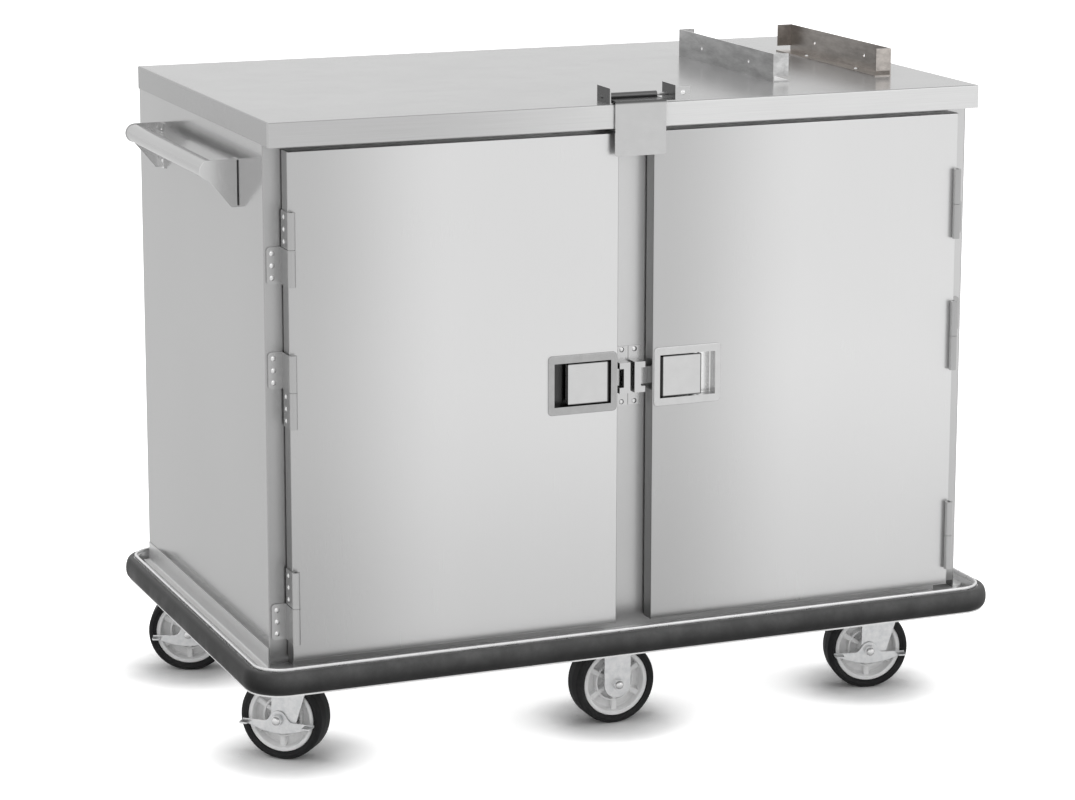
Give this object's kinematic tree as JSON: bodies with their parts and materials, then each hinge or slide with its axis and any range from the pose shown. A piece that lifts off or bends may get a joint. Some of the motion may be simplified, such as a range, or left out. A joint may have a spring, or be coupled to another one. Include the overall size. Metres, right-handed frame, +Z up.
{
  "type": "enclosed meal tray cart",
  "caption": "Enclosed stainless meal tray cart with hinged doors, paddle latches, end push handles, top cradle rails and a rubber bumper, on swivel and fixed casters.",
  "frame": {"origin": "on the floor under the middle of the cart", "axes": "+X along the cart's length, towards the cradle rails; the doors face -Y; +Z up"},
  "size_m": [1.439, 0.858, 1.172],
  "materials": {
    "polished_stainless": "polished",
    "brushed_stainless": "brushed",
    "deck_steel": "satin",
    "extruded_channel": "satin",
    "black_rubber": "matte",
    "bright_steel": "bright",
    "zinc_plate": "zinc plated",
    "grey_polymer": "moulded",
    "tyre_rubber": "matte"
  },
  "bodies": {
    "cart": {"top_panel": "polished_stainless", "side_panel_left": "polished_stainless", "side_panel_right": "polished_stainless", "back_panel": "brushed_stainless", "cabinet_floor": "brushed_stainless", "front_frame": "brushed_stainless", "centre_divider": "brushed_stainless", "tray_racks": "brushed_stainless", "base_deck": "deck_steel", "cross_members": "deck_steel", "bumper_channel": "extruded_channel", "bumper_rubber": "black_rubber", "hinge_frame_leaves": "brushed_stainless", "latch_catches": "bright_steel", "end_handles": "brushed_stainless", "handle_brackets": "brushed_stainless", "cradle_rails": "brushed_stainless", "travel_latch_ears": "brushed_stainless", "swivel_plates": "zinc_plate", "rigid_forks": "zinc_plate", "cabinet_screws": "bright_steel", "caster_bolts": "zinc_plate"},
    "door_left": {"door_skin_left": "brushed_stainless", "door_liner_left": "brushed_stainless", "door_gasket_left": "black_rubber", "latch_housing_left": "brushed_stainless", "door_hinge_leaves_left": "brushed_stainless", "door_screws_left": "bright_steel"},
    "paddle_left": {"latch_paddle_left": "brushed_stainless"},
    "bolt_left": {"latch_bolt_left": "bright_steel"},
    "door_right": {"door_skin_right": "brushed_stainless", "door_liner_right": "brushed_stainless", "door_gasket_right": "black_rubber", "latch_housing_right": "brushed_stainless", "door_hinge_leaves_right": "brushed_stainless", "door_screws_right": "bright_steel"},
    "paddle_right": {"latch_paddle_right": "brushed_stainless"},
    "bolt_right": {"latch_bolt_right": "bright_steel"},
    "travel_latch": {"travel_latch_flap": "brushed_stainless"},
    "swivel_front_left": {"caster_fork_front_left": "zinc_plate"},
    "brake_front_left": {"brake_pedal_front_left": "zinc_plate"},
    "wheel_front_left": {"wheel_core_front_left": "grey_polymer", "tyre_front_left": "tyre_rubber"},
    "swivel_front_right": {"caster_fork_front_right": "zinc_plate"},
    "brake_front_right": {"brake_pedal_front_right": "zinc_plate"},
    "wheel_front_right": {"wheel_core_front_right": "grey_polymer", "tyre_front_right": "tyre_rubber"},
    "swivel_rear_left": {"caster_fork_rear_left": "zinc_plate"},
    "brake_rear_left": {"brake_pedal_rear_left": "zinc_plate"},
    "wheel_rear_left": {"wheel_core_rear_left": "grey_polymer", "tyre_rear_left": "tyre_rubber"},
    "swivel_rear_right": {"caster_fork_rear_right": "zinc_plate"},
    "brake_rear_right": {"brake_pedal_rear_right": "zinc_plate"},
    "wheel_rear_right": {"wheel_core_rear_right": "grey_polymer", "tyre_rear_right": "tyre_rubber"},
    "wheel_front_centre": {"wheel_core_front_centre": "grey_polymer", "tyre_front_centre": "tyre_rubber"},
    "wheel_rear_centre": {"wheel_core_rear_centre": "grey_polymer", "tyre_rear_centre": "tyre_rubber"}
  },
  "joints": [
    {"name": "door_left_hinge", "type": "hinge", "parent": "cart", "child": "door_left", "pos_m": [-0.618, -0.3885, 0.64], "axis": [0, 0, -1], "range_deg": [0, 230]},
    {"name": "door_right_hinge", "type": "hinge", "parent": "cart", "child": "door_right", "pos_m": [0.618, -0.3885, 0.64], "axis": [0, 0, 1], "range_deg": [0, 230]},
    {"name": "paddle_left_pivot", "type": "hinge", "parent": "door_left", "child": "paddle_left", "pos_m": [-0.051, -0.3785, 0.6425], "axis": [0, 0, 1], "range_deg": [0, 35], "stiffness_Nm_per_rad": 0.05},
    {"name": "bolt_left_slide", "type": "slide", "parent": "door_left", "child": "bolt_left", "axis": [-1, 0, 0], "range_m": [0, 0.014]},
    {"name": "paddle_right_pivot", "type": "hinge", "parent": "door_right", "child": "paddle_right", "pos_m": [0.051, -0.3785, 0.6425], "axis": [0, 0, -1], "range_deg": [0, 35], "stiffness_Nm_per_rad": 0.05},
    {"name": "bolt_right_slide", "type": "slide", "parent": "door_right", "child": "bolt_right", "axis": [1, 0, 0], "range_m": [0, 0.014]},
    {"name": "travel_latch_pivot", "type": "hinge", "parent": "cart", "child": "travel_latch", "pos_m": [0.001, -0.352, 1.1306], "axis": [-1, 0, 0], "range_deg": [0, 180]},
    {"name": "swivel_front_left_turn", "type": "hinge", "parent": "cart", "child": "swivel_front_left", "pos_m": [-0.56, -0.283, 0.173], "axis": [0, 0, 1], "continuous": true},
    {"name": "wheel_front_left_spin", "type": "hinge", "parent": "swivel_front_left", "child": "wheel_front_left", "pos_m": [-0.5952, -0.25186, 0.075], "axis": [0.6626, 0.749, 0], "continuous": true},
    {"name": "brake_front_left_rock", "type": "hinge", "parent": "swivel_front_left", "child": "brake_front_left", "pos_m": [-0.5952, -0.25186, 0.075], "axis": [0.6626, 0.749, 0], "range_deg": [-12, 12]},
    {"name": "swivel_front_right_turn", "type": "hinge", "parent": "cart", "child": "swivel_front_right", "pos_m": [0.56, -0.283, 0.173], "axis": [0, 0, 1], "continuous": true},
    {"name": "wheel_front_right_spin", "type": "hinge", "parent": "swivel_front_right", "child": "wheel_front_right", "pos_m": [0.5143, -0.27203, 0.075], "axis": [0.2334, 0.9724, 0], "continuous": true},
    {"name": "brake_front_right_rock", "type": "hinge", "parent": "swivel_front_right", "child": "brake_front_right", "pos_m": [0.5143, -0.27203, 0.075], "axis": [0.2334, 0.9724, 0], "range_deg": [-12, 12]},
    {"name": "swivel_rear_left_turn", "type": "hinge", "parent": "cart", "child": "swivel_rear_left", "pos_m": [-0.56, 0.283, 0.173], "axis": [0, 0, 1], "continuous": true},
    {"name": "wheel_rear_left_spin", "type": "hinge", "parent": "swivel_rear_left", "child": "wheel_rear_left", "pos_m": [-0.60373, 0.30023, 0.075], "axis": [0.3665, 0.9304, 0], "continuous": true},
    {"name": "brake_rear_left_rock", "type": "hinge", "parent": "swivel_rear_left", "child": "brake_rear_left", "pos_m": [-0.60373, 0.30023, 0.075], "axis": [0.3665, 0.9304, 0], "range_deg": [-12, 12]},
    {"name": "swivel_rear_right_turn", "type": "hinge", "parent": "cart", "child": "swivel_rear_right", "pos_m": [0.56, 0.283, 0.173], "axis": [0, 0, 1], "continuous": true},
    {"name": "wheel_rear_right_spin", "type": "hinge", "parent": "swivel_rear_right", "child": "wheel_rear_right", "pos_m": [0.51505, 0.29674, 0.075], "axis": [0.2924, 0.9563, 0], "continuous": true},
    {"name": "brake_rear_right_rock", "type": "hinge", "parent": "swivel_rear_right", "child": "brake_rear_right", "pos_m": [0.51505, 0.29674, 0.075], "axis": [0.2924, 0.9563, 0], "range_deg": [-12, 12]},
    {"name": "wheel_front_centre_spin", "type": "hinge", "parent": "cart", "child": "wheel_front_centre", "pos_m": [0, -0.283, 0.075], "axis": [0, 1, 0], "continuous": true},
    {"name": "wheel_rear_centre_spin", "type": "hinge", "parent": "cart", "child": "wheel_rear_centre", "pos_m": [0, 0.283, 0.075], "axis": [0, 1, 0], "continuous": true}
  ],
  "couplings": [
    {"joint": "bolt_left_slide", "follows": "paddle_left_pivot", "m_per_rad": 0.0229},
    {"joint": "bolt_right_slide", "follows": "paddle_right_pivot", "m_per_rad": 0.0229}
  ]
}
